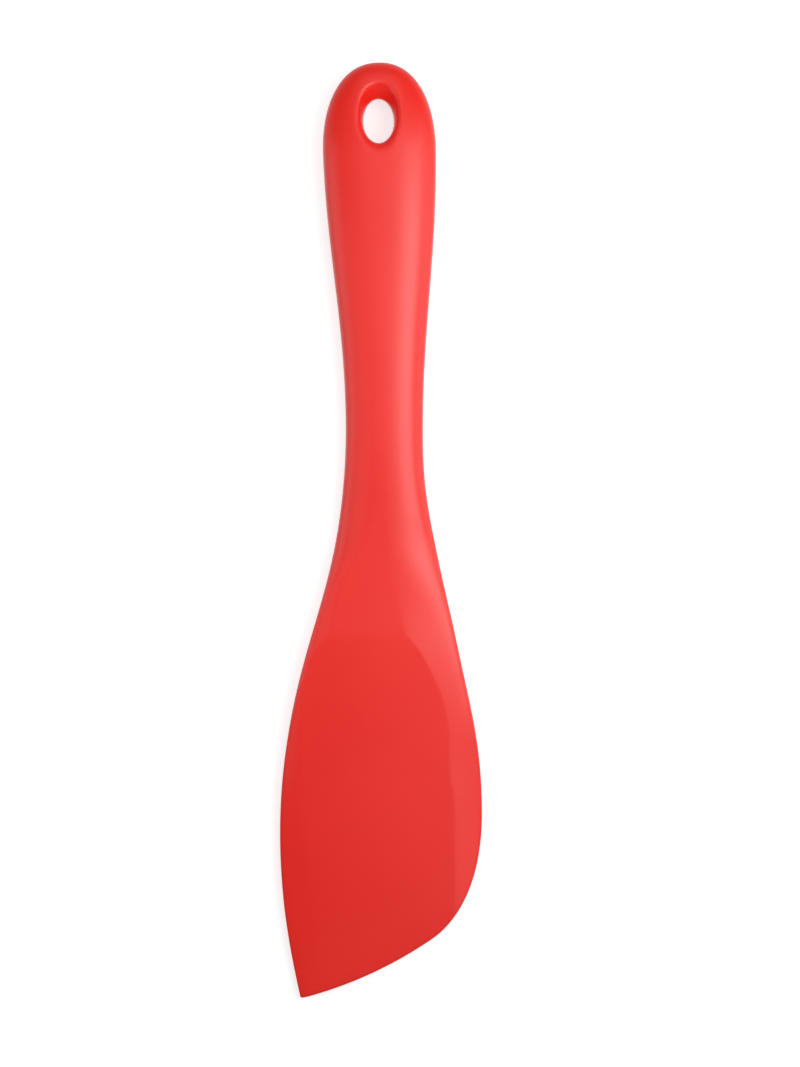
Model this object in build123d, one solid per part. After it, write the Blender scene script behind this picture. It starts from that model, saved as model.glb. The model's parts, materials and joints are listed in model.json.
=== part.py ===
from build123d import *
from math import atan2, ceil, cos, degrees, pi, sin
import os

# A one-piece silicone spatula, in millimetres. It lies on a level surface with its front face up.
# +Y runs along the handle's axis to the rounded end with the hanging hole, +X to the right edge
# of the blade, and the origin is at the middle of the bounding box, on that surface.
# A "place" is a distance along the handle's axis, measured from the handle's rounded end.

# Handle
overall_length = 280.0
end_length = 23.3
grip_width = 33.4
grip_thickness = 13.6
neck_from_end = 110.0
neck_width = 22.8
neck_thickness = 10.4

# Blade, whose long left edge reaches further from the handle's axis than its right edge
blade_left = 32.9
blade_right = 27.7
shoulder_from_end = 150.0
shoulder_thickness = 9.3
crease_from_tip = 108.0
crease_thickness = 8.8
tip_thickness = 1.9

# Curved working edge, from the right side round the corner to the tip at the lower left
corner_from_tip = 49.4
corner_inset = 0.2
bend_from_tip = 12.6
bend_right = 5.4
tip_left = 27.2

# Hanging hole: an oval throat with a short straight land, and a dish on each face
throat_width = 9.3
throat_length = 13.8
throat_from_end = 17.4
land_height = 2.4
mouth_width = 13.5
mouth_length = 22.0
mouth_shift = 1.0

# Steel core: a flat strip with punched holes, sealed in the silicone
core_thickness = 1.5
core_from_end = 33.0
core_grip_width = 16.0
core_grip_length = 48.0
core_neck_width = 10.0
core_blade_width = 28.0
core_blade_length = 34.0
core_from_tip = 66.0
core_corner = 6.0
bond_film = 0.1
grip_hole = 5.0
grip_hole_pitch = 17.0
blade_hole = 6.0
blade_hole_pitch = 15.0

# How far every cutting shape runs past what it cuts
overrun = 5.0

# Outline of the blade: share of the way from the neck to the tip, then the shares of the spread
# from the neck's half width to the left and to the right reach of the blade
outline_shares = [
    (0.12, 0.05, 0.067),
    (0.22, 0.191, 0.24),
    (0.32, 0.416, 0.442),
    (0.42, 0.651, 0.662),
    (0.55, 0.885, 0.912),
    (0.66, 0.981, 1.0),
    (0.73, 1.0, 0.978),
    (0.88, 0.915, 0.975),
    (1.0, 0.741, 0.975),
    (1.05, 0.668, 0.975),
]

# Crown of the blade below the crease: share of the way from the crease to the tip, then its
# height over the flat panel's. The panel is cut into the crown and leaves a bevel on each side.
crown_shares = [
    (0.1, 1.148),
    (0.23, 1.273),
    (0.33, 1.35),
    (0.75, 1.34),
    (0.9, 1.45),
    (1.0, 1.5),
    (1.05, 1.5),
]

# Sections across the axis have a level crown and rounded sides. The crown's share of the half
# width, left and right, and the fullness of the rounded sides: 0.55 for an ellipse, 1 for square.
end_crown_shares = (0.12, 0.12)
neck_crown_shares = (0.1, 0.1)
shoulder_crown_shares = (0.4, 0.18)
crease_crown_shares = (0.8, 0.32)
blade_crown_shares = (0.4, 0.2)
end_fullness_share = 0.56
end_bluntness_share = 0.78
neck_fullness_share = 0.56
crease_fullness_share = 0.6
blade_fullness_share = 0.59
blade_section_place_share = 0.5

# Sections of the rounded end, as shares of a quarter turn, and the widest gap between the others
end_turn_shares = (0.07, 0.16, 0.28, 0.42, 0.58, 0.78)
section_gap = 11.0
tilt_steps = 200

crease_from_end = overall_length - crease_from_tip
neck_to_tip = overall_length - neck_from_end


def smooth_through(points, place):
    """The value at a place on a smooth line through points, which never overshoots them."""
    count = len(points)
    rise = [
        (points[i + 1][1] - points[i][1]) / (points[i + 1][0] - points[i][0])
        for i in range(count - 1)
    ]
    slope = [0.0] * count
    slope[-1] = rise[-1]
    for i in range(1, count - 1):
        before, after = rise[i - 1], rise[i]
        if before * after > 0:
            slope[i] = 2 * before * after / (before + after)
    i = 0
    while i < count - 2 and place > points[i + 1][0]:
        i += 1
    (low, low_value), (high, high_value) = points[i], points[i + 1]
    step = high - low
    part = (place - low) / step
    ease = part * part * (3 - 2 * part)
    return (
        low_value + (high_value - low_value) * ease
        + slope[i] * step * part * (1 - part) ** 2
        - slope[i + 1] * step * part * part * (1 - part)
    )


def along(place):
    """Y of a place while the handle's axis is still level, with Y zero midway."""
    return overall_length / 2 - place


def side_line(side):
    """Half widths on one side, left 0 or right 1, at places from the grip to past the tip."""
    reach = (blade_left, blade_right)[side]
    spread = reach - neck_width / 2
    points = [(end_length, grip_width / 2), (neck_from_end, neck_width / 2)]
    for row in outline_shares:
        points.append((neck_from_end + neck_to_tip * row[0], neck_width / 2 + spread * row[1 + side]))
    return points


def panel_height(place):
    """Half the thickness of the blade's flat panel, which thins evenly from crease to tip."""
    drop = (crease_thickness - tip_thickness) / 2 / crease_from_tip
    return crease_thickness / 2 - drop * (place - crease_from_end)


def crown_line():
    """Half thicknesses of the oval body at places from the grip to past the tip."""
    points = [
        (end_length, grip_thickness / 2),
        (neck_from_end, neck_thickness / 2),
        (shoulder_from_end, shoulder_thickness / 2),
        (crease_from_end, crease_thickness / 2),
    ]
    for way_share, height_share in crown_shares:
        place = crease_from_end + crease_from_tip * way_share
        points.append((place, panel_height(place) * height_share))
    return points


def crown_width_line(side):
    """The level crown's share of the half width on one side, from the grip to past the tip."""
    blade_place = crease_from_end + crease_from_tip * blade_section_place_share
    return [
        (end_length, end_crown_shares[side]),
        (neck_from_end, neck_crown_shares[side]),
        (shoulder_from_end, shoulder_crown_shares[side]),
        (crease_from_end, crease_crown_shares[side]),
        (blade_place, blade_crown_shares[side]),
        (overall_length + overrun, blade_crown_shares[side]),
    ]


def fullness_line():
    """Fullness of the rounded sides at places from the grip to past the tip."""
    blade_place = crease_from_end + crease_from_tip * blade_section_place_share
    return [
        (end_length, end_fullness_share),
        (neck_from_end, neck_fullness_share),
        (crease_from_end, crease_fullness_share),
        (blade_place, blade_fullness_share),
        (overall_length + overrun, blade_fullness_share),
    ]


def section(place, left, right, height, left_crown, right_crown, fullness):
    """A section across the axis: a level crown on each face, and sides that round over to upright."""
    y = along(place)
    left_end, right_end = -left * left_crown, right * right_crown
    edges = []
    for rise in (height, -height):
        for reach, crown_end in ((right, right_end), (-left, left_end)):
            shoulder = crown_end + fullness * (reach - crown_end)
            edges.append(
                Bezier((reach, y, 0), (reach, y, fullness * rise), (shoulder, y, rise), (crown_end, y, rise))
            )
        edges.append(Line((right_end, y, rise), (left_end, y, rise)))
    return Wire(edges)


def body_blank():
    """The whole outer form before the panels, the working edge and the hanging hole are cut."""
    sections = [Vertex(0, along(0), 0)]
    for share in end_turn_shares:
        turn = share * pi / 2
        half_width = grip_width / 2 * sin(turn)
        half_height = grip_thickness / 2 * sin(turn) ** end_bluntness_share
        place = end_length * (1 - cos(turn))
        sections.append(
            section(place, half_width, half_width, half_height, *end_crown_shares, end_fullness_share)
        )
    left_line, right_line, heights = side_line(0), side_line(1), crown_line()
    left_crown, right_crown, fullness = crown_width_line(0), crown_width_line(1), fullness_line()
    last = overall_length + overrun
    stops = [end_length, neck_from_end, crease_from_end, last]
    places = [end_length]
    for start, stop in zip(stops, stops[1:]):
        count = ceil((stop - start) / section_gap)
        places += [start + (stop - start) * (i + 1) / count for i in range(count)]
    for place in places:
        sections.append(
            section(
                place,
                smooth_through(left_line, place),
                smooth_through(right_line, place),
                smooth_through(heights, place),
                smooth_through(left_crown, place),
                smooth_through(right_crown, place),
                smooth_through(fullness, place),
            )
        )
    return Solid.make_loft(sections)


def panel_cutter():
    """What is cut off the front of the blade to leave its flat panel."""
    above, below = crease_from_end - overrun, overall_length + 2 * overrun
    profile = Polyline(
        (along(above), panel_height(above)),
        (along(below), panel_height(below)),
        (along(below), grip_thickness),
        (along(above), grip_thickness),
        close=True,
    )
    return extrude(Plane.YZ * make_face(profile), blade_left + overrun, both=True)


def working_edge_cutter():
    """What lies past the curved working edge: a corner bend, then a long bend to the tip."""
    side = (blade_right - corner_inset, along(overall_length - corner_from_tip))
    bend = (bend_right, along(overall_length - bend_from_tip))
    tip = (-tip_left, along(overall_length))
    corner_arc = TangentArc(side, bend, tangent=(0, -1))
    edge_arc = TangentArc(bend, tip, tangent=corner_arc % 1)
    left, right = -blade_left - overrun, blade_right + overrun
    past = along(overall_length + 2 * overrun)
    rest = Polyline(tip, (left, tip[1]), (left, past), (right, past), (right, side[1]), side)
    outline = make_face([corner_arc, edge_arc, rest])
    return extrude(outline, grip_thickness, both=True)


def hole_cutter():
    """The hanging hole's oval throat, and the dish that opens from its land to each face."""
    middle = along(throat_from_end)
    throat = Ellipse(throat_width / 2, throat_length / 2)
    through = extrude(Pos(0, middle, 0) * throat, grip_thickness, both=True)
    depth = (grip_thickness - land_height) / 2
    stretch = (depth + overrun) / depth
    flare = Ellipse(
        (throat_width + (mouth_width - throat_width) * stretch) / 2,
        (throat_length + (mouth_length - throat_length) * stretch) / 2,
    )
    low = Pos(0, middle, land_height / 2) * throat
    high = Pos(0, middle + mouth_shift * stretch, grip_thickness / 2 + overrun) * flare
    dish = loft([low, high], ruled=True)
    return through + dish + mirror(dish, about=Plane.XY)


def core_outline(film):
    """The core's outline seen from the front, grown all round by a film."""
    top = along(core_from_end) + film
    grip_end = along(core_from_end + core_grip_length)
    neck = along(neck_from_end)
    blade_start = along(overall_length - core_from_tip - core_blade_length)
    bottom = along(overall_length - core_from_tip) - film
    grip_half, neck_half, blade_half = (
        width / 2 + film for width in (core_grip_width, core_neck_width, core_blade_width)
    )
    down = (0, -1)
    waist = Spline(
        (grip_half, grip_end), (neck_half, neck), (blade_half, blade_start), tangents=[down, down, down]
    )
    right_side = [
        Line((0, top), (grip_half, top)),
        Line((grip_half, top), (grip_half, grip_end)),
        waist,
        Line((blade_half, blade_start), (blade_half, bottom)),
        Line((blade_half, bottom), (0, bottom)),
    ]
    left_side = [mirror(line, about=Plane.YZ) for line in right_side]
    outline = make_face(right_side + left_side)
    rows = outline.vertices().group_by(Axis.Y)
    corners = [v for v in rows[0] + rows[-1] if abs(v.X) > film]
    return fillet(corners, core_corner + film)


def core_blank(film):
    """The steel core grown all round by a film, so that its punched holes shrink."""
    outline = core_outline(film)
    grip_middle = along(core_from_end + core_grip_length / 2)
    blade_middle = along(overall_length - core_from_tip - core_blade_length / 2)
    for row in (-1, 0, 1):
        outline -= Pos(0, grip_middle + row * grip_hole_pitch) * Circle(grip_hole / 2 - film)
    for side in (-1, 1):
        for row in (-1, 1):
            spot = Pos(side * blade_hole_pitch / 2, blade_middle + row * blade_hole_pitch / 2)
            outline -= spot * Circle(blade_hole / 2 - film)
    return extrude(outline, core_thickness / 2 + film, both=True)


def silicone_jacket():
    """The seamless outer form, with the core's space left inside it and silicone in the core's holes."""
    front = panel_cutter()
    jacket = body_blank() - front - mirror(front, about=Plane.XY)
    jacket -= working_edge_cutter()
    jacket -= hole_cutter()
    return jacket - core_blank(bond_film)


def rest_tilt():
    """Turn about X, in radians, that rests the grip's belly and the crease on one level surface."""
    heights = crown_line()
    reach = neck_from_end - end_length
    places = [end_length + reach * step / tilt_steps for step in range(tilt_steps)]
    return max(
        atan2(smooth_through(heights, place) - crease_thickness / 2, crease_from_end - place)
        for place in places
    )


def main():
    pieces = {"silicone_jacket": silicone_jacket(), "steel_core": core_blank(0)}
    tilt = Rot(degrees(rest_tilt()), 0, 0)
    pieces = {name: tilt * piece for name, piece in pieces.items()}
    box = pieces["silicone_jacket"].bounding_box()
    middle = box.center()
    to_origin = Pos(-middle.X, -middle.Y, -box.min.Z)
    os.makedirs("parts", exist_ok=True)
    for name, piece in pieces.items():
        piece = to_origin * piece
        export_step(piece, f"parts/{name}.step")
        volume = round(piece.volume / 1000, 2)
        print(name, "solids", len(piece.solids()), "volume in cubic centimetres", volume)
    print("rest tilt in degrees", round(degrees(rest_tilt()), 3), "moved by", to_origin.position)


main()
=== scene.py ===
# %% [markdown]
# # A red silicone spatula
#
# The real spatula is one seamless silicone moulding over a hidden steel core. This lesson shapes
# that moulding from a few written rules, gives it the satin finish of moulded silicone, and lights
# it softly on a white ground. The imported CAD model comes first, because it fixes the size and the
# place of all that follows and is never changed.

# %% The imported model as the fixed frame
import json
from math import atan2, cos, degrees, pi, sin

import bpy
from mathutils import Matrix, Vector

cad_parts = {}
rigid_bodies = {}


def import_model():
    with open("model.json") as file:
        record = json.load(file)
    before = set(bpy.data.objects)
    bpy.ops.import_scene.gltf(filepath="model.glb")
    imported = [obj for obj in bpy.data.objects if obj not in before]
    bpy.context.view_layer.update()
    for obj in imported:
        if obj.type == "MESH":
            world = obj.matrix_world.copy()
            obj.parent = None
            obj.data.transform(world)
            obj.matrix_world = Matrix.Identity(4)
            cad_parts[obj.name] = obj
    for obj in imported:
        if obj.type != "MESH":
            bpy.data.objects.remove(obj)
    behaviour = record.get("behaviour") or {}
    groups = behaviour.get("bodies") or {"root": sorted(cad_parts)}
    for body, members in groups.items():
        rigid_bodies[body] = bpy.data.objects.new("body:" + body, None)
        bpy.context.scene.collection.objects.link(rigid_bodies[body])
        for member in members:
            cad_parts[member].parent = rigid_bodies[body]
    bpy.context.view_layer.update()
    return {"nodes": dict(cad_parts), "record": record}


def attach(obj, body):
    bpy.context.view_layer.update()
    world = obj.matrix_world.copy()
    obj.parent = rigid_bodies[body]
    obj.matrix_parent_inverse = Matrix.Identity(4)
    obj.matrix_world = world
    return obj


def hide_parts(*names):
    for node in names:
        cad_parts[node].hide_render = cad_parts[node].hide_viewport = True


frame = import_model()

MM = 0.001

# %% [markdown]
# ## A level frame for the maker
#
# The spatula rests on the belly of its grip and on the crease of its blade, so its middle plane
# leans by a degree. Shaping is easier in a level frame: X to the right edge of the blade, Y to the
# end of the grip, Z up from the middle plane, all in millimetres. The hanging hole's mount in the
# record gives the lean and the place, so the level frame can be carried back exactly.

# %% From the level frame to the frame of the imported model
LENGTH = 280.0
HOLE_PLACE = 17.4
hole_mount = next(m for m in frame["record"]["mounts"] if m["name"] == "hanging_hole")
lean = atan2(-hole_mount["axis"][1], hole_mount["axis"][2])
turn = Matrix.Rotation(lean, 4, "X")
hole_in_level = Vector((0, LENGTH / 2 - HOLE_PLACE, 0)) * MM
shift = Vector(hole_mount["pos_m"]) - turn @ hole_in_level
packed_from_level = Matrix.Translation(shift) @ turn @ Matrix.Scale(MM, 4)
print("lean in degrees:", round(degrees(lean), 3))
print("shift in mm:", [round(value / MM, 3) for value in shift])

# %% [markdown]
# ## The sizes
#
# Every size is a named input of the shape's node tree. Places are measured along the handle from
# its rounded end. The outline and the crown are sums of soft steps: each step adds its amount
# between a start and a stop, which is how a maker would describe such a form, and it never ripples.
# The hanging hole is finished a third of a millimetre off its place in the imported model, where the
# photograph shows it.

# %% Sizes in millimetres
HOLE_NEARER_BLADE = 0.25
SIZES = {
    "Length": LENGTH,
    "Rounded end": 27.7,
    "Grip left half width": 17.21,
    "Grip right half width": 16.73,
    "Grip half thickness": 6.8,
    "Crease place": 172.0,
    "Crease half thickness": 4.4,
    "Panel slope": 0.03194,
    "Crease softness": 0.04,
    "Corner place": 222.8,
    "Corner width": 31.5,
    "Corner length": 44.6,
    "Bend right": 12.1,
    "Tip left": 27.98,
    "Tip place": 280.46,
    "Tip rounding": 0.5,
    "Edge rounding": 1.0,
    "Hole place": HOLE_PLACE + HOLE_NEARER_BLADE,
    "Hole aside": -0.33,
    "Hole half width": 4.65,
    "Hole half length": 6.78,
    "Hole land": 5.0,
    "Hole land rounding": 0.35,
    "Hole land thinning to the end": 0.6,
    "Mouth spread": 1.45,
    "Mouth spread to the end": 0.2,
    "Mouth depth": 4.1,
    "Mouth rim softness": 1.9,
    "Mouth bluntness": 0.9,
    "Parting bead": 0.06,
}
STEPS = {
    "Left waist": (-5.88, 12.6, 115.5),
    "Left shoulder": (9.42, 100.4, 201.2),
    "Left swell": (12.2, 131.1, 239.2),
    "Left taper": (-12.87, 226.8, 342.3),
    "Right waist": (-5.19, 17.7, 122.2),
    "Right shoulder": (7.08, 111.3, 181.1),
    "Right swell": (9.09, 144.3, 227.0),
    "Grip thinning": (-1.8, 11.72, 143.94),
    "Shoulder thinning": (-0.85, 104.17, 160.0),
    "Blade crown": (0.5, 156.0, 188.0),
    "Blade thinning": (-3.34, 176.81, 305.38),
    "Left crown drop": (0.17, 176.0, 209.0),
    "Left level crown": (0.75, 122.0, 165.0),
    "Left level crown rise": (0.15, 165.0, 180.0),
    "Left level crown end": (-0.4, 176.0, 245.0),
    "Right crown drop": (0.165, 198.0, 222.0),
    "Right level crown": (0.31, 140.0, 182.0),
    "Right level crown end": (0.33, 192.0, 226.0),
    "Right bevel drop": (0.38, 118.0, 168.0),
    "Right bevel steepening": (0.52, 188.0, 232.0),
    "Left bevel drop": (0.25, 118.0, 168.0),
    "Blunt rim": (6.5, 140.0, 182.0),
    "Bevel flatness": (0.7, 148.0, 176.0),
}
for step_name, values in STEPS.items():
    for part, value in zip(("amount", "start", "stop"), values):
        SIZES[f"{step_name} {part}"] = value
print(len(SIZES), "named sizes")

# %% [markdown]
# ## Formulas that become nodes
#
# A shape that follows a rule needs many Math nodes. Wired by hand they are hard to read, so a small
# class lets ordinary Python sums write them: adding two formulas makes an Add node, and so on.

# %% A value in a node tree, usable in ordinary sums
NEARLY_NOTHING = 0.000001


class Formula:
    """A number that may differ at every point of the mesh."""

    def __init__(self, tree, socket):
        self.tree, self.socket = tree, socket

    def __add__(self, other):
        return work_out("ADD", self, other)

    def __sub__(self, other):
        return work_out("SUBTRACT", self, other)

    def __rsub__(self, other):
        return work_out("SUBTRACT", other, self)

    def __mul__(self, other):
        return work_out("MULTIPLY", self, other)

    def __truediv__(self, other):
        return work_out("DIVIDE", self, other)

    def __rtruediv__(self, other):
        return work_out("DIVIDE", other, self)

    def __pow__(self, other):
        return work_out("POWER", self, other)

    __radd__, __rmul__ = __add__, __mul__


def feed(tree, value, socket):
    """Links a formula to a socket, or writes a plain number into it."""
    if isinstance(value, Formula):
        tree.links.new(value.socket, socket)
    else:
        socket.default_value = value


def work_out(operation, *values):
    """One Math node."""
    tree = next(value.tree for value in values if isinstance(value, Formula))
    node = tree.nodes.new("ShaderNodeMath")
    node.operation = operation
    for value, socket in zip(values, node.inputs):
        feed(tree, value, socket)
    return Formula(tree, node.outputs[0])


def soft_step(value, start, stop):
    """0 before the start, 1 after the stop, and a soft slope between them."""
    node = value.tree.nodes.new("ShaderNodeMapRange")
    node.interpolation_type = "SMOOTHERSTEP"
    for name, source in (("Value", value), ("From Min", start), ("From Max", stop)):
        feed(value.tree, source, node.inputs[name])
    return Formula(value.tree, node.outputs["Result"])


def larger(a, b):
    return work_out("MAXIMUM", a, b)


def smaller(a, b):
    return work_out("MINIMUM", a, b)


def longest(a, b):
    """Length of the long side of a right triangle."""
    return work_out("SQRT", a * a + b * b)


def rounded(share, power):
    """Rises upright from 0 and is level at 1, like the edge of a bullnose."""
    return (1 - (1 - smaller(share, 1)) ** power) ** (1 / power)


def either(test, if_true, if_false):
    return if_false + test * (if_true - if_false)

# %% [markdown]
# ## The outline
#
# Seen from the front, the grip has a rounded end and tapers to a neck, then each side of the blade
# swells in its own way. The long left side reaches further out and comes back in towards the tip.
# The right side runs straight down into the corner.

# %% Half width of the outline at a place
END_SQUARENESS = 2.26


def eased(size, place, *names):
    """What the named steps add together at a place."""
    steps = [
        size[f"{name} amount"] * soft_step(place, size[f"{name} start"], size[f"{name} stop"])
        for name in names
    ]
    return sum(steps[1:], steps[0])


def tucked(size, place):
    """Grows from 0 to 1 over the rounded end of the grip."""
    return larger((size["Rounded end"] - place) / size["Rounded end"], 0)


def half_width(size, place, right):
    """right is 1 on the right side and 0 on the left."""
    end = (1 - tucked(size, place) ** END_SQUARENESS) ** (1 / END_SQUARENESS)
    grip_left = size["Grip left half width"] + eased(size, place, "Left waist")
    grip_right = size["Grip right half width"] + eased(size, place, "Right waist")
    blade_left = eased(size, place, "Left shoulder", "Left swell", "Left taper")
    blade_right = eased(size, place, "Right shoulder", "Right swell")
    return end * either(right, grip_right, grip_left) + either(right, blade_right, blade_left)

# %% [markdown]
# ## The working edge
#
# The edge that scrapes the bowl runs across the blade in two parts that meet without a kink: a
# corner like a quarter of a slightly squared oval, and a long even arc to the tip at the lower
# left. The arc's radius follows from the point and the direction in which the corner ends, and from
# the tip.

# %% The corner and the arc, and what the other rules ask of them
CORNER_SQUARENESS = 2.3


def working_edge(size):
    """The corner's middle, and the arc's middle and radius, as formulas."""
    reach = size["Grip right half width"] + size["Right waist amount"]
    reach = reach + size["Right shoulder amount"] + size["Right swell amount"]
    corner_x = reach - size["Corner width"]
    across = (size["Bend right"] - corner_x) / size["Corner width"]
    down = (1 - across ** CORNER_SQUARENESS) ** (1 / CORNER_SQUARENESS)
    bend_place = size["Corner place"] + size["Corner length"] * down
    lean_x = across ** (CORNER_SQUARENESS - 1) / size["Corner width"]
    lean_y = down ** (CORNER_SQUARENESS - 1) / size["Corner length"]
    steepness = longest(lean_x, lean_y)
    lean_x, lean_y = lean_x / steepness, lean_y / steepness
    run_x, run_y = size["Tip left"] * -1 - size["Bend right"], size["Tip place"] - bend_place
    radius = (run_x * run_x + run_y * run_y) / ((run_x * lean_x + run_y * lean_y) * -2)
    return {
        "reach": reach,
        "corner x": corner_x,
        "arc x": size["Bend right"] - radius * lean_x,
        "arc place": bend_place - radius * lean_y,
        "radius": radius,
    }


def edge_place(size, edge, x):
    """Place of the working edge below a point at x."""
    across = smaller(larger((x - edge["corner x"]) / size["Corner width"], 0), 1)
    down = (1 - across ** CORNER_SQUARENESS) ** (1 / CORNER_SQUARENESS)
    corner = size["Corner place"] + size["Corner length"] * down
    gap = x - edge["arc x"]
    arc = edge["arc place"] + work_out("SQRT", larger(edge["radius"] ** 2 - gap * gap, 0))
    return either(work_out("GREATER_THAN", x, size["Bend right"]), corner, arc)


def edge_distance(size, edge, x, place):
    """How far a point lies inside the working edge."""
    right_by, below_by = larger(x - edge["corner x"], 0), larger(place - size["Corner place"], 0)
    across, down = right_by / size["Corner width"], below_by / size["Corner length"]
    oval = across ** CORNER_SQUARENESS + down ** CORNER_SQUARENESS
    oval = larger(oval, NEARLY_NOTHING) ** (1 / CORNER_SQUARENESS)
    inside = larger(longest(right_by, below_by) * (1 / oval - 1), 0)
    to_corner = longest(inside, larger(size["Corner place"] - place, 0))
    below_arc = larger(place - edge["arc place"], 0)
    to_arc = larger(edge["radius"] - longest(x - edge["arc x"], below_arc), 0)
    return either(work_out("GREATER_THAN", x, size["Bend right"]), to_corner, to_arc)

# %% [markdown]
# ## The height of the surface
#
# A section across the handle is a soft oval. Towards the blade its crown gets a level middle with a
# plain slant on each side and a blunt rim. Where the flat panel's sloping plane comes below the
# crown, the lower of the two is the surface. That gives the crease across the blade and leaves the
# slants as its bevels. The hanging hole is one more such rule: a dish that sinks from each face to
# a short straight land, which gets shorter towards the rounded end, as the grip gets thinner there.

# %% Heights of the crown, the panel and the dish round the hanging hole
END_FULLNESS = 0.39
SLANT_SOFTNESS = 1.9
OVAL_POWER = 2.25
BULLNOSE_POWER = 3
BLUNTER_FROM, BLUNTER_TO = -0.7, 0.9
THINNER_FROM, THINNER_TO = 0.1, 1


def crown_height(size, place, right, share):
    """share is 0 in the middle and 1 on the outline."""
    tuck = tucked(size, place)
    end = (1 - tuck * tuck) ** END_FULLNESS
    height = size["Grip half thickness"]
    for name in ("Grip thinning", "Shoulder thinning", "Blade crown", "Blade thinning"):
        height = height + eased(size, place, name)
    drop_left = eased(size, place, "Left crown drop")
    drop_right = eased(size, place, "Right crown drop")
    drop = either(right, drop_right, drop_left)
    left_levels = ("Left level crown", "Left level crown rise", "Left level crown end")
    level_left = eased(size, place, *left_levels)
    level_right = eased(size, place, "Right level crown", "Right level crown end")
    level = either(right, level_right, level_left)
    fall = smaller(larger((share - level) / (1 - level), 0), 1)
    slant_right = eased(size, place, "Right bevel drop", "Right bevel steepening")
    slant = either(right, slant_right, eased(size, place, "Left bevel drop"))
    slant = slant * fall ** (SLANT_SOFTNESS - eased(size, place, "Bevel flatness"))
    power = OVAL_POWER + eased(size, place, "Blunt rim")
    return end * height * (1 - drop) * (1 - slant) * (1 - fall ** power) ** (1 / power)


def panel_height(size, place):
    return size["Crease half thickness"] - size["Panel slope"] * (place - size["Crease place"])


def dish_height(size, x, place, spread):
    """spread is 1 on the hole's own oval and grows outwards from it."""
    down = (place - size["Hole place"]) / (size["Hole half length"] * spread)
    to_end = larger(down * -1, 0)
    mouth = size["Mouth spread"] + size["Mouth spread to the end"] * to_end * to_end
    way_out = larger((spread - 1) / (mouth - 1), 0)
    bluntness = 1 + size["Mouth bluntness"] * soft_step(down, BLUNTER_FROM, BLUNTER_TO)
    wall = rounded(way_out, bluntness) + larger(way_out - 1, 0)
    from_hole = (spread - 1) * size["Hole half width"]
    land = rounded(from_hole / size["Hole land rounding"], BULLNOSE_POWER)
    thinned = soft_step(to_end, THINNER_FROM, THINNER_TO)
    land = land * (1 - size["Hole land thinning to the end"] * thinned)
    return size["Hole land"] / 2 * land + size["Mouth depth"] * wall

# %% [markdown]
# ## One sheet, four times
#
# The moulding is made from flat grids of points whose rows are places along the handle and whose
# columns run from the middle to the outline. The rows crowd together where the form turns sharply:
# at the rounded end, round the hole and at the working edge. One such sheet is a quarter of the
# surface. It is used for the left and the right, then for the front and the back, and the four are
# joined along the parting line, the hole and the middle.

# %% The grids and their crowding
EVEN, DENSE_START, DENSE_STOP, DENSE_BOTH = "even", "start", "stop", "both"


def crowd(way, kind):
    """Moves rows towards the start or the stop of their stretch."""
    if kind == DENSE_BOTH:
        return (1 - work_out("COSINE", way * pi)) / 2
    if kind == DENSE_START:
        return 1 - work_out("COSINE", way * (pi / 2))
    if kind == DENSE_STOP:
        return 1 - (1 - way) ** 2
    return way


def sheet(tree, columns, stretches):
    """Grids one after another along the handle, each with its across share and its place stored."""
    join = tree.nodes.new("GeometryNodeJoinGeometry")
    for start, stop, rows, kind in stretches:
        grid = tree.nodes.new("GeometryNodeMeshGrid")
        feed(tree, columns, grid.inputs["Vertices X"])
        grid.inputs["Vertices Y"].default_value = rows
        position = tree.nodes.new("GeometryNodeInputPosition")
        split = tree.nodes.new("ShaderNodeSeparateXYZ")
        tree.links.new(position.outputs[0], split.inputs[0])
        across = Formula(tree, split.outputs["X"]) + 0.5
        place = start + (stop - start) * crowd(Formula(tree, split.outputs["Y"]) + 0.5, kind)
        stored = store(tree, grid.outputs["Mesh"], "across", across)
        stored = store(tree, stored, "place", place)
        tree.links.new(stored, join.inputs[0])
    return join.outputs[0]


def store(tree, geometry, name, value):
    """Keeps a value at every point under a name."""
    node = tree.nodes.new("GeometryNodeStoreNamedAttribute")
    node.inputs["Name"].default_value = name
    tree.links.new(geometry, node.inputs["Geometry"])
    feed(tree, value, node.inputs["Value"])
    return node.outputs["Geometry"]


def stored_value(tree, name):
    node = tree.nodes.new("GeometryNodeInputNamedAttribute")
    node.inputs["Name"].default_value = name
    return Formula(tree, node.outputs["Attribute"])


def flip(tree, geometry):
    node = tree.nodes.new("GeometryNodeFlipFaces")
    tree.links.new(geometry, node.inputs["Mesh"])
    return node.outputs[0]


def joined(tree, *parts):
    node = tree.nodes.new("GeometryNodeJoinGeometry")
    for part in parts:
        tree.links.new(part, node.inputs[0])
    return node.outputs[0]


def put(tree, geometry, x, y, z):
    """Sets every point's position."""
    combine = tree.nodes.new("ShaderNodeCombineXYZ")
    for value, socket in zip((x, y, z), combine.inputs):
        feed(tree, value, socket)
    node = tree.nodes.new("GeometryNodeSetPosition")
    tree.links.new(geometry, node.inputs["Geometry"])
    tree.links.new(combine.outputs[0], node.inputs["Position"])
    return node.outputs[0]

# %% [markdown]
# ## From rules to points
#
# Each point knows its side, how far across it lies and its place. The rows start level on the
# handle and bend gradually towards the working edge, so that the last row is the edge itself. Round
# the hole, the columns start on the hole's oval instead of the middle. Points on the parting line
# and in the hole's waist get a height of exactly zero, so that front and back meet there. Two
# values stay with the points: "parting" marks that line, and "rubbed" grows towards the working
# edge. Last, the hole is moved a little to one side, with the points round it, and that movement
# fades out towards the outline.

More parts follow.
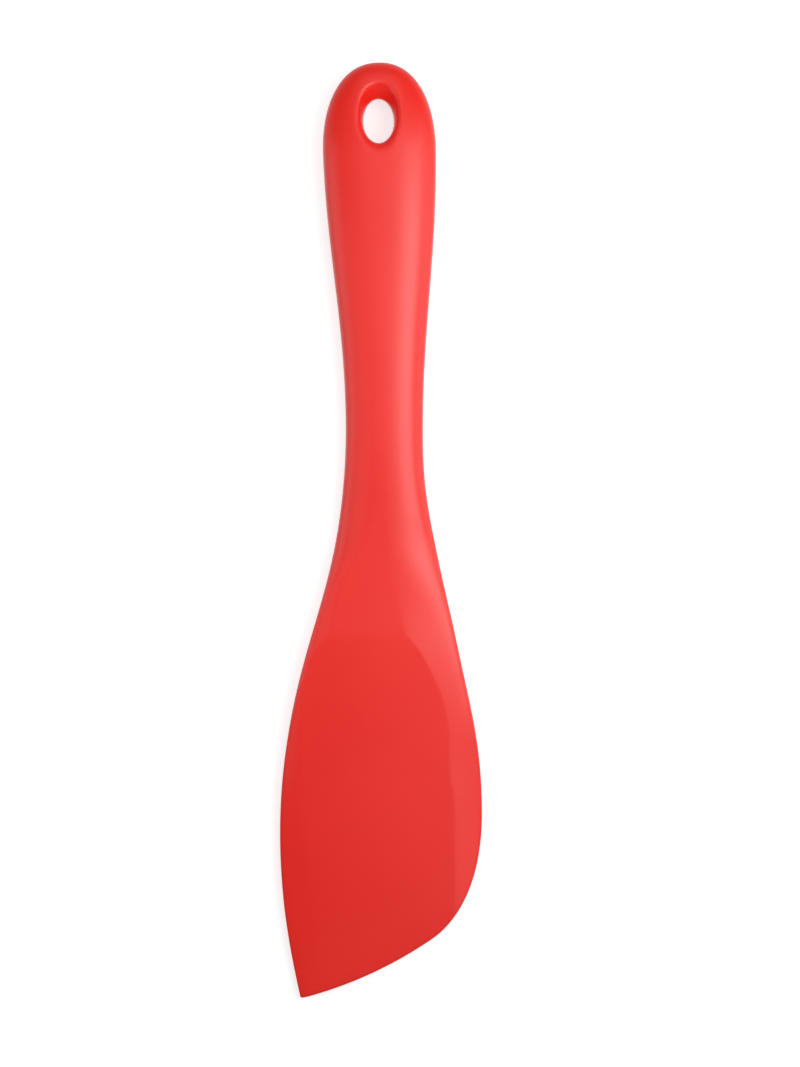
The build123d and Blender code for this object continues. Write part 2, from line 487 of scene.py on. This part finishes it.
# %% The position of every point on the front
A_TOUCH = 0.00001
A_HAIR = 0.0001
CROWDED_FROM, CROWDED_TO = 0.6, 1.0
GUESS_BEFORE_TIP = 2
ROUNDS_OF_FINDING = 3
TIP_ROUNDING_POWER = 46
BENDING_START = 60
BENDING_POWER = 3
ABOVE_HOLE, BELOW_HOLE = 6, 9
FIRMER_BELOW_HOLE = 0.75
RUBBED_REACH = 14


def shaped_front(tree, size, geometry):
    across, start_place, right = (stored_value(tree, name) for name in ("across", "place", "right"))
    side = right * 2 - 1
    edge = working_edge(size)
    rounding = soft_step(across, CROWDED_FROM, CROWDED_TO)
    open_share = across + rounding * (work_out("SINE", across * (pi / 2)) - across)

    stop = size["Tip place"] - GUESS_BEFORE_TIP
    for _ in range(ROUNDS_OF_FINDING):
        reach = either(right, edge["reach"], half_width(size, stop, right))
        stop = edge_place(size, edge, side * open_share * reach)
    stop = stop - size["Tip rounding"] * open_share ** TIP_ROUNDING_POWER * (1 - right)
    bending = larger(start_place - BENDING_START, 0) / (size["Tip place"] - BENDING_START)
    place = start_place - (size["Tip place"] - stop) * bending ** BENDING_POWER

    hole_top = size["Hole place"] - size["Hole half length"]
    hole_bottom = size["Hole place"] + size["Hole half length"]
    at_hole = soft_step(place, hole_top - ABOVE_HOLE, hole_top)
    at_hole = at_hole * (1 - soft_step(place, hole_bottom, hole_bottom + BELOW_HOLE))
    crowded_share = (1 - work_out("COSINE", across * pi)) / 2
    column = open_share + at_hole * (crowded_share - open_share)
    along_hole = (place - size["Hole place"]) / size["Hole half length"]
    in_hole = larger(1 - along_hole * along_hole - A_TOUCH, 0)
    inner = size["Hole half width"] * work_out("SQRT", in_hole)
    width = half_width(size, place, right)
    x = inner + (width - inner) * column

    spread = longest(x / size["Hole half width"], along_hole)
    crown = crown_height(size, place, right, x / larger(width, NEARLY_NOTHING))
    face = work_out("SMOOTH_MIN", crown, panel_height(size, place), size["Crease softness"])
    below_hole = soft_step(place, size["Hole place"], hole_bottom)
    rim_softness = size["Mouth rim softness"] * (1 - below_hole * FIRMER_BELOW_HOLE)
    dished = work_out("SMOOTH_MIN", face, dish_height(size, x, place, spread), rim_softness)
    from_edge = edge_distance(size, edge, side * x, place)
    z = dished * rounded(from_edge / size["Edge rounding"], BULLNOSE_POWER)

    on_outline = work_out("GREATER_THAN", across, 1 - A_TOUCH)
    on_working_edge = work_out("GREATER_THAN", start_place, size["Tip place"] - A_HAIR)
    first_column = work_out("LESS_THAN", across, A_TOUCH)
    in_hole_waist = work_out("LESS_THAN", spread, 1 + 2 * A_TOUCH) * first_column
    at_rounded_end = work_out("LESS_THAN", start_place, A_HAIR)
    on_outer_line = larger(on_outline, on_working_edge)
    on_parting_line = larger(on_outer_line, larger(at_rounded_end, in_hole_waist))
    z = z * (1 - on_parting_line)
    geometry = store(tree, geometry, "parting", on_parting_line)
    geometry = store(tree, geometry, "rubbed", 1 - soft_step(from_edge, 0, RUBBED_REACH))
    aside = size["Hole aside"] * at_hole * (1 - column)
    return put(tree, geometry, side * x + aside, size["Length"] / 2 - place, z)

# %% [markdown]
# ## The whole tree
#
# The tree takes the sizes, makes the sheet, copies it to both sides, shapes it, turns a copy over
# for the back and joins everything along the shared points. A mould leaves a hair-thin bead of
# silicone where its halves meet. That bead follows the outline and the hole's waist, so it is swept
# along their own edges.

# %% Sweeping the bead, and building the tree
BEAD_SIDES = 6
ON_LINE_FROM = 0.99
COLUMNS = 56
MERGE_WITHIN = 0.0005
EVENLY_FROM, EDGE_STRIP = 8, 3


def parting_bead(tree, body, radius):
    """A hair-thin round bead along the edges that lie on the parting line."""
    line = tree.nodes.new("GeometryNodeMeshToCurve")
    tree.links.new(body, line.inputs["Mesh"])
    on_line = work_out("GREATER_THAN", stored_value(tree, "parting"), ON_LINE_FROM)
    tree.links.new(on_line.socket, line.inputs["Selection"])
    ring = tree.nodes.new("GeometryNodeCurvePrimitiveCircle")
    ring.inputs["Resolution"].default_value = BEAD_SIDES
    feed(tree, radius, ring.inputs["Radius"])
    sweep = tree.nodes.new("GeometryNodeCurveToMesh")
    tree.links.new(line.outputs[0], sweep.inputs["Curve"])
    tree.links.new(ring.outputs[0], sweep.inputs["Profile Curve"])
    return sweep.outputs[0]


def body_tree(finish):
    tree = bpy.data.node_groups.new("spatula form", "GeometryNodeTree")
    tree.interface.new_socket("Geometry", in_out="OUTPUT", socket_type="NodeSocketGeometry")
    for name, value in SIZES.items():
        socket = tree.interface.new_socket(name, in_out="INPUT", socket_type="NodeSocketFloat")
        socket.default_value = value
    columns = tree.interface.new_socket("Columns", in_out="INPUT", socket_type="NodeSocketInt")
    columns.default_value = COLUMNS
    given = tree.nodes.new("NodeGroupInput")
    size = {name: Formula(tree, given.outputs[name]) for name in SIZES}

    hole_top = size["Hole place"] - size["Hole half length"]
    hole_bottom = size["Hole place"] + size["Hole half length"]
    below_hole, last_strip = hole_bottom + EVENLY_FROM, size["Tip place"] - EDGE_STRIP
    stretches = [  # start, stop, rows, and where the rows crowd
        (0, hole_top, 26, DENSE_BOTH),
        (hole_top, hole_bottom, 34, DENSE_BOTH),
        (hole_bottom, below_hole, 14, DENSE_START),
        (below_hole, last_strip, 320, EVEN),
        (last_strip, size["Tip place"], 11, DENSE_STOP),
    ]
    quarter = sheet(tree, Formula(tree, given.outputs["Columns"]), stretches)
    right = store(tree, flip(tree, quarter), "right", 1.0)
    left = store(tree, quarter, "right", 0.0)
    front = shaped_front(tree, size, joined(tree, left, right))

    position = tree.nodes.new("GeometryNodeInputPosition")
    split = tree.nodes.new("ShaderNodeSeparateXYZ")
    tree.links.new(position.outputs[0], split.inputs[0])
    x, y, z = (Formula(tree, socket) for socket in split.outputs)
    back = put(tree, flip(tree, front), x, y, z * -1)
    merge = tree.nodes.new("GeometryNodeMergeByDistance")
    tree.links.new(joined(tree, front, back), merge.inputs["Geometry"])
    merge.inputs["Distance"].default_value = MERGE_WITHIN

    bead = parting_bead(tree, merge.outputs[0], size["Parting bead"])
    smooth = tree.nodes.new("GeometryNodeSetShadeSmooth")
    tree.links.new(joined(tree, merge.outputs[0], bead), smooth.inputs["Geometry"])
    realize = tree.nodes.new("GeometryNodeRealizeInstances")
    tree.links.new(smooth.outputs[0], realize.inputs[0])
    paint = tree.nodes.new("GeometryNodeSetMaterial")
    paint.inputs["Material"].default_value = finish
    tree.links.new(realize.outputs[0], paint.inputs["Geometry"])
    out = tree.nodes.new("NodeGroupOutput")
    tree.links.new(paint.outputs[0], out.inputs[0])
    print("spatula form:", len(tree.nodes), "nodes")
    return tree

# %% [markdown]
# ## Grain from the mould
#
# A silicone tool takes the surface of its mould. Good moulds are lightly blasted, so the finish is
# satin with a very fine, even grain, and handling leaves faint patches that are a little smoother
# or duller. Use adds short hair lines that cross each other. One group makes all three from object
# coordinates, for the silicone and the steel alike.

# %% A shader group for grain, handling patches and scuffs
SCUFF_ANGLES = (0.5, -0.9)
SCUFF_SCALE = (2400, 110, 500)
SCUFF_FADE = (0.64, 0.74)


def set_values(node, values):
    """Writes plain values into a node's named inputs."""
    for name, value in values.items():
        node.inputs[name].default_value = value


def scuffs(group, position):
    """Short hair lines in two directions: 1 on a line and 0 between the lines."""
    lines = 0
    for angle in SCUFF_ANGLES:
        lean = group.nodes.new("ShaderNodeMapping")
        set_values(lean, {"Rotation": (0, 0, angle), "Scale": SCUFF_SCALE})
        group.links.new(position, lean.inputs["Vector"])
        noise = group.nodes.new("ShaderNodeTexNoise")
        set_values(noise, {"Scale": 1, "Detail": 1})
        group.links.new(lean.outputs[0], noise.inputs["Vector"])
        lines = soft_step(Formula(group, noise.outputs["Fac"]), *SCUFF_FADE) + lines
    return smaller(lines, 1)


def grain_group():
    """One group that both finishes use."""
    group = bpy.data.node_groups.new("grain and patches", "ShaderNodeTree")
    for name, value in (("Grain size mm", 0.35), ("Patch size mm", 40.0), ("Stretch", 1.0)):
        socket = group.interface.new_socket(name, in_out="INPUT", socket_type="NodeSocketFloat")
        socket.default_value = value
    for name in ("Grain", "Patches", "Scuffs"):
        group.interface.new_socket(name, in_out="OUTPUT", socket_type="NodeSocketFloat")
    nodes, links = group.nodes, group.links
    given, out = nodes.new("NodeGroupInput"), nodes.new("NodeGroupOutput")
    coords = nodes.new("ShaderNodeTexCoord")
    squeeze = nodes.new("ShaderNodeCombineXYZ")
    set_values(squeeze, {"X": 1, "Z": 1})
    links.new(given.outputs["Stretch"], squeeze.inputs["Y"])
    stretched = nodes.new("ShaderNodeVectorMath")
    stretched.operation = "MULTIPLY"
    links.new(coords.outputs["Object"], stretched.inputs[0])
    links.new(squeeze.outputs[0], stretched.inputs[1])
    noises = (("Grain", 2.0, "Grain size mm"), ("Patches", 3.0, "Patch size mm"))
    for name, detail, source in noises:
        density = work_out("DIVIDE", 1 / MM, Formula(group, given.outputs[source]))
        noise = nodes.new("ShaderNodeTexNoise")
        noise.inputs["Detail"].default_value = detail
        links.new(stretched.outputs[0], noise.inputs["Vector"])
        feed(group, density, noise.inputs["Scale"])
        links.new(noise.outputs["Fac"], out.inputs[name])
    links.new(scuffs(group, coords.outputs["Object"]).socket, out.inputs["Scuffs"])
    return group


GRAIN = grain_group()
group_inputs = [item.name for item in GRAIN.interface.items_tree if item.in_out == "INPUT"]
print("grain group inputs:", group_inputs)

# %% [markdown]
# ## Red satin silicone
#
# Silicone is coloured through its mass. Its surface is satin, a little light scatters under the
# skin at thin edges, and a soft sheen shows where it turns away. The last centimetre before the
# working edge scrapes bowls and pans, so there the surface is slightly duller and carries the hair
# lines. The form's tree stored that zone at every point as "rubbed".

# %% The silicone's material
NOISE_LOW, NOISE_HIGH = 0.3, 0.7
REDS = (0.90, 0.017, 0.010, 1), (0.94, 0.021, 0.012, 1)
SATIN = (0.30, 0.34)
WEAR_ROUGHNESS, WORN_ALL_OVER = 0.06, 0.25


def ranged(tree, value, low, high):
    """Turns noise, which seldom leaves its middle range, into a value between low and high."""
    node = tree.nodes.new("ShaderNodeMapRange")
    set_values(node, {"From Min": NOISE_LOW, "From Max": NOISE_HIGH, "To Min": low, "To Max": high})
    tree.links.new(value, node.inputs["Value"])
    return node.outputs["Result"]


def grain_node(tree, values):
    """The grain group in a material, with its inputs set."""
    node = tree.nodes.new("ShaderNodeGroup")
    node.node_tree = GRAIN
    set_values(node, values)
    return node


def patchy_colour(tree, grain, first, second):
    """Two close colours that follow the handling patches."""
    colour = tree.nodes.new("ShaderNodeMix")
    colour.data_type = "RGBA"
    set_values(colour, {"A": first, "B": second})
    tree.links.new(ranged(tree, grain.outputs["Patches"], 0, 1), colour.inputs["Factor"])
    tree.links.new(colour.outputs["Result"], tree.nodes["Principled BSDF"].inputs["Base Color"])


def grain_bump(tree, grain, strength, depth):
    """The grain as fine relief."""
    bump = tree.nodes.new("ShaderNodeBump")
    set_values(bump, {"Strength": strength, "Distance": depth})
    tree.links.new(grain.outputs["Grain"], bump.inputs["Height"])
    tree.links.new(bump.outputs["Normal"], tree.nodes["Principled BSDF"].inputs["Normal"])


def silicone_finish():
    material = bpy.data.materials.new("red satin silicone")
    material.use_nodes = True
    tree = material.node_tree
    shader = tree.nodes["Principled BSDF"]
    grain = grain_node(tree, {"Grain size mm": 0.35, "Patch size mm": 45.0})
    patchy_colour(tree, grain, *REDS)
    grain_bump(tree, grain, strength=0.12, depth=0.04 * MM)
    rubbed = tree.nodes.new("ShaderNodeAttribute")
    rubbed.attribute_name = "rubbed"
    worn = WORN_ALL_OVER + Formula(tree, grain.outputs["Scuffs"])
    wear = Formula(tree, rubbed.outputs["Fac"]) * worn
    patchy = Formula(tree, ranged(tree, grain.outputs["Patches"], *SATIN))
    feed(tree, patchy + wear * WEAR_ROUGHNESS, shader.inputs["Roughness"])
    set_values(shader, {
        "IOR": 1.5,
        "Subsurface Weight": 0.03,
        "Subsurface Radius": (1.0, 0.25, 0.15),
        "Subsurface Scale": MM,
        "Sheen Weight": 0.02,
        "Sheen Roughness": 0.4,
    })
    return material


SILICONE = silicone_finish()
print("finish:", SILICONE.name)

# %% [markdown]
# ## The moulding as a plain mesh
#
# The tree is put on an object, its inputs are set, and Blender works it out once. The result is
# kept as a plain mesh and the modifier is taken off.
# Turning the mesh back from the level frame puts the moulding exactly where the imported model has
# it.

# %% Working out the moulding
def worked_out(name, tree, inputs):
    """The tree's result as a plain mesh on a new object at the origin."""
    piece = bpy.data.objects.new(name, bpy.data.meshes.new(name))
    bpy.context.scene.collection.objects.link(piece)
    modifier = piece.modifiers.new("form", "NODES")
    modifier.node_group = tree
    for item in tree.interface.items_tree:
        if item.in_out == "INPUT" and item.name in inputs:
            modifier[item.identifier] = inputs[item.name]
    seen = piece.evaluated_get(bpy.context.evaluated_depsgraph_get())
    mesh = bpy.data.meshes.new_from_object(seen)
    piece.modifiers.clear()
    piece.data = mesh
    mesh.name = name
    mesh.transform(packed_from_level)
    return piece


silicone_body = worked_out("silicone_body", body_tree(SILICONE), {**SIZES, "Columns": COLUMNS})
triangles = sum(len(face.vertices) - 2 for face in silicone_body.data.polygons)
print("silicone_body:", triangles, "triangles")

# %% Checking that the moulding is closed and faces outwards
import bmesh

measure = bmesh.new()
measure.from_mesh(silicone_body.data)
open_edges = sum(1 for edge in measure.edges if not edge.is_manifold)
volume = measure.calc_volume(signed=True) / (10 * MM) ** 3
measure.free()
print("open or doubled edges:", open_edges, "volume in cubic centimetres:", round(volume, 2))

# %% The moulding stands for the CAD's silicone
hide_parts("silicone_jacket")
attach(silicone_body, "root")

# %% [markdown]
# ## The steel core
#
# The core is a flat stainless strip inside the silicone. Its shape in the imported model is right, so
# it stays, and only gets its finish: a rolled strip shows fine lines along its length, and punching
# and handling before the moulding leave a few scuffs.

# %% The core's material
GREYS = (0.50, 0.50, 0.49, 1), (0.60, 0.59, 0.58, 1)
ROLLED = (0.28, 0.42)
SCUFF_ROUGHNESS = 0.08


def steel_finish():
    material = bpy.data.materials.new("rolled stainless strip")
    material.use_nodes = True
    tree = material.node_tree
    grain = grain_node(tree, {"Grain size mm": 0.25, "Patch size mm": 25.0, "Stretch": 0.03})
    patchy_colour(tree, grain, *GREYS)
    grain_bump(tree, grain, strength=0.2, depth=0.02 * MM)
    shader = tree.nodes["Principled BSDF"]
    rolled = Formula(tree, ranged(tree, grain.outputs["Grain"], *ROLLED))
    scuffed = Formula(tree, grain.outputs["Scuffs"]) * SCUFF_ROUGHNESS
    feed(tree, rolled + scuffed, shader.inputs["Roughness"])
    set_values(shader, {"Metallic": 1})
    return material


steel_core = frame["nodes"]["steel_core"]
steel_core.data.materials.clear()
steel_core.data.materials.append(steel_finish())
print("finish:", steel_core.data.materials[0].name)

# %% [markdown]
# ## A white ground
#
# The ground is a wide pale floor that bends up into a low wall far away on all sides, like a studio
# cove, so that no horizon shows from the side. To the camera and in reflections it adds a plain
# white of its own, as a lit studio table does, while the light that it gives back to the spatula
# stays that of a pale matt surface. The soft shadow under the spatula remains.

# %% The floor
WHITE = (1, 1, 1, 1)
PALE = (0.55, 0.55, 0.55, 1)
OWN_WHITE = 0.68
INNER_RING = 0.5


def floor_finish():
    material = bpy.data.materials.new("white ground")
    material.use_nodes = True
    tree = material.node_tree
    shader = tree.nodes["Principled BSDF"]
    set_values(shader, {"Base Color": PALE, "Roughness": 0.9})
    path = tree.nodes.new("ShaderNodeLightPath")
    rays = ("Is Camera Ray", "Is Glossy Ray", "Is Transmission Ray")
    camera_ray, glossy_ray, through_ray = (Formula(tree, path.outputs[ray]) for ray in rays)
    seen = smaller(camera_ray + glossy_ray + through_ray, 1)
    white = tree.nodes.new("ShaderNodeEmission")
    white.inputs["Color"].default_value = WHITE
    feed(tree, seen * OWN_WHITE, white.inputs["Strength"])
    both = tree.nodes.new("ShaderNodeAddShader")
    tree.links.new(shader.outputs[0], both.inputs[0])
    tree.links.new(white.outputs[0], both.inputs[1])
    tree.links.new(both.outputs[0], tree.nodes["Material Output"].inputs["Surface"])
    return material


def cove_rings(flat, bend, height, steps=12):
    """Radius and height of each ring: the flat floor, a quarter round and a short wall."""
    quarter = [pi / 2 * step / steps for step in range(steps + 1)]
    rings = [(flat + bend * sin(angle), bend * (1 - cos(angle))) for angle in quarter]
    return [(INNER_RING, 0.0)] + rings + [(flat + bend, height)]


def cove_mesh(rings, around=96):
    """Rings of points joined by quads, with one flat face in the middle."""
    turns = [2 * pi * step / around for step in range(around)]
    points = [(radius * cos(t), radius * sin(t), z) for radius, z in rings for t in turns]
    faces = [tuple(range(around))]
    for start in range(0, around * (len(rings) - 1), around):
        for step in range(around):
            inner, beside = start + step, start + (step + 1) % around
            faces.append((inner, inner + around, beside + around, beside))
    mesh = bpy.data.meshes.new("floor")
    mesh.from_pydata(points, [], faces)
    mesh.shade_smooth()
    return mesh


floor_mesh = cove_mesh(cove_rings(flat=2.0, bend=0.6, height=0.85))
floor_mesh.materials.append(floor_finish())
floor = bpy.data.objects.new("floor", floor_mesh)
bpy.context.scene.collection.objects.link(floor)

# %% [markdown]
# ## Studio light
#
# Satin silicone shows its light twice: in how bright the red is, and in the pale bands that lie on
# it. The handle's band runs a little right of its middle, so a compact key panel hangs high on the
# right. A wide panel beside it carries the same light down the blade, and one beside the grip keeps
# the band going to the rounded end. Low panels on both sides draw the rims. Two panels beyond the
# grip light its end, and a high one on the left keeps that side open. An even sky fills the rest.
# All of them stay weak, so that the red is seen about as it is mixed.

# %% Lamps and sky
PANELS = {  # direction, distance, size and power, and the point on the ground that it faces
    "key panel": ((0.5, 0.05, 0.86), 0.4, 0.19, 0.53, (0, 0.055, 0)),
    "wide high panel": ((0.47, 0.0, 0.88), 0.45, 0.4, 0.52, (0, -0.09, 0)),
    "right panel beside the grip": ((1.0, 0.15, 0.75), 0.7, 0.25, 0.34, (0, 0.12, 0)),
    "low right panel": ((0.97, 0.0, 0.24), 0.5, 0.3, 0.42, (0, 0.04, 0)),
    "high panel beyond the grip": ((0.0, 0.26, 0.97), 0.4, 0.2, 0.11, (0, 0, 0)),
    "low panel beyond the grip": ((0.02, 0.75, 1.2), 0.5, 0.35, 0.32, (0, 0.1, 0)),
    "low left panel": ((-0.9, 0.14, 0.42), 0.36, 0.22, 0.2, (0, 0.01, 0)),
    "high left panel": ((-0.5, 0.0, 0.87), 0.5, 0.25, 0.19, (0, 0, 0)),
}
SKY_STRENGTH = 0.19


def soft_panel(name, direction, distance, size, power, aim):
    """A square lamp that faces a point on the ground."""
    lamp = bpy.data.lights.new(name, "AREA")
    lamp.shape, lamp.size, lamp.energy = "SQUARE", size, power
    holder = bpy.data.objects.new(name, lamp)
    towards = Vector(direction).normalized()
    holder.location = Vector(aim) + towards * distance
    holder.rotation_euler = towards.to_track_quat("Z", "Y").to_euler()
    bpy.context.scene.collection.objects.link(holder)


for panel_name, panel in PANELS.items():
    soft_panel(panel_name, *panel)
world = bpy.data.worlds.new("even sky")
world.use_nodes = True
set_values(world.node_tree.nodes["Background"], {"Color": WHITE, "Strength": SKY_STRENGTH})
bpy.context.scene.world = world
bpy.context.scene.view_settings.view_transform = "Standard"

# %% [markdown]
# ## The camera
#
# The photograph looks straight onto the spatula's middle plane from about 0.7 m, with the handle
# leaning a little to the left. The camera is placed in the level frame and turned by that lean, and
# its lens shows 320 mm of the middle plane from top to bottom.

# %% Placing the camera
VIEW_HEIGHT = 320.1 * MM
CAMERA_DISTANCE = 0.72
CAMERA_ASIDE, CAMERA_ALONG = 4.34 * MM, -1.29 * MM
HANDLE_LEAN = 0.816 * pi / 180
SENSOR = 36
camera_data = bpy.data.cameras.new("camera")
camera_data.sensor_fit, camera_data.sensor_height = "VERTICAL", SENSOR
camera_data.lens = camera_data.sensor_height * CAMERA_DISTANCE / VIEW_HEIGHT
camera = bpy.data.objects.new("camera", camera_data)
above_middle = Matrix.Translation((CAMERA_ASIDE, CAMERA_ALONG, CAMERA_DISTANCE))
leaning = Matrix.Rotation(-HANDLE_LEAN, 4, "Z")
camera.matrix_world = Matrix.Translation(shift) @ turn @ above_middle @ leaning
bpy.context.scene.collection.objects.link(camera)
bpy.context.scene.camera = camera
print("lens in mm:", round(camera_data.lens, 1))
